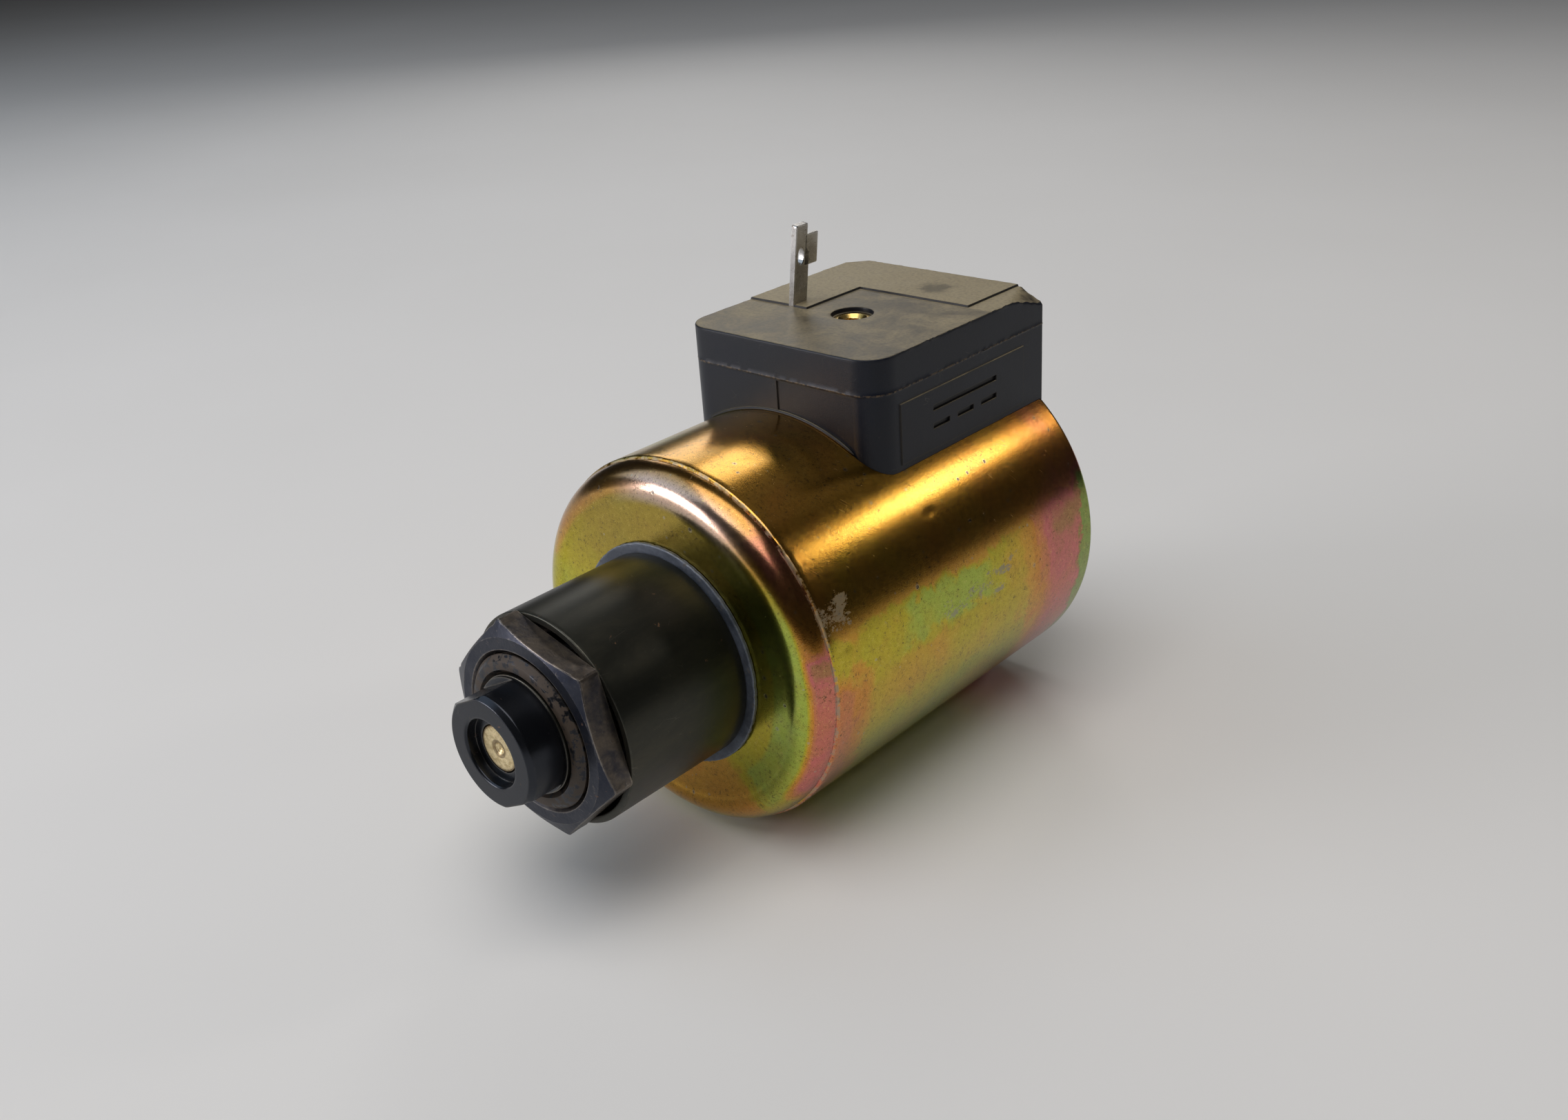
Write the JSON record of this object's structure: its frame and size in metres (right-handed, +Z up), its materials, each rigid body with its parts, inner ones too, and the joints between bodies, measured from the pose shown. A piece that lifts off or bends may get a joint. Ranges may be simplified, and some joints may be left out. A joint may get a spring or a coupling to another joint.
{
  "type": "solenoid valve operator",
  "caption": "Round coil with a connector block, clamped by a nut on a threaded pole tube: its armature pushes a pin out of the nose to shift a valve spool, with a hand override at the far end.",
  "frame": {"origin": "on the pole tube's axis, at the seat where the coil's rear face meets the valve body", "axes": "+Y along the tube out of the threaded nose, +Z up through the connector block, +X to the right seen from the nut end"},
  "size_m": [0.045, 0.0916, 0.0636],
  "materials": {
    "yellow_zinc_steel": "yellow chromate over zinc, satin, worn",
    "plated_washer_steel": "zinc plated, dull",
    "black_moulding": "glass-filled thermoplastic, satin, dusty",
    "bobbin_nylon": "natural glass-filled nylon",
    "enamelled_copper": "enamelled copper wire",
    "winding_tape": "polyester film tape",
    "insert_brass": "turned brass",
    "tinned_contact": "tin plated, stained at the foot",
    "gasket_grey": "grey sealing ring, scuffed",
    "black_oxide_steel": "black oxide, oiled",
    "worn_black_oxide": "black oxide, rubbed brown on the corners",
    "tube_steel": "phosphated steel",
    "override_bronze": "dull bronze with oil stain",
    "seal_rubber": "nitrile rubber",
    "bearing_bronze": "bronze bush",
    "soft_iron": "ground soft iron",
    "stainless_steel": "ground stainless steel",
    "spring_steel": "phosphated spring steel"
  },
  "bodies": {
    "pole_tube": {"front_gasket": "gasket_grey", "spacer_sleeve": "black_oxide_steel", "hex_nut": "worn_black_oxide", "guide_tube": "tube_steel", "end_plug": "black_oxide_steel", "end_plug_seal": "seal_rubber", "override_seal": "seal_rubber", "override_retaining_ring": "spring_steel", "armature_bush_front": "bearing_bronze", "armature_bush_rear": "bearing_bronze", "antiresidual_shim": "bearing_bronze", "nonmagnetic_ring": "bearing_bronze", "push_pin_bush": "bearing_bronze", "pole_piece": "tube_steel", "nose_seal": "seal_rubber"},
    "coil": {"coil_can": "yellow_zinc_steel", "front_flux_washer": "plated_washer_steel", "rear_end_plate": "plated_washer_steel", "coil_rear_seal": "seal_rubber", "bobbin": "bobbin_nylon", "winding": "enamelled_copper", "winding_wrap": "winding_tape", "live_wire": "enamelled_copper", "earth_wire": "enamelled_copper", "connector_block": "black_moulding", "brass_insert": "insert_brass", "contact_blade": "tinned_contact"},
    "armature": {"armature": "soft_iron", "push_pin": "stainless_steel"},
    "override": {"override_pin": "override_bronze"}
  },
  "joints": [
    {"name": "coil_swivel", "type": "hinge", "parent": "pole_tube", "child": "coil", "pos_m": [0, 0, 0], "axis": [0, 1, 0], "continuous": true},
    {"name": "armature_stroke", "type": "slide", "parent": "pole_tube", "child": "armature", "axis": [0, 1, 0], "range_m": [0, 0.0028]},
    {"name": "override_push", "type": "slide", "parent": "pole_tube", "child": "override", "axis": [0, 1, 0], "range_m": [0, 0.0028]}
  ],
  "couplings": [
    {"joint": "override_push", "follows": "armature_stroke", "ratio": 1}
  ]
}
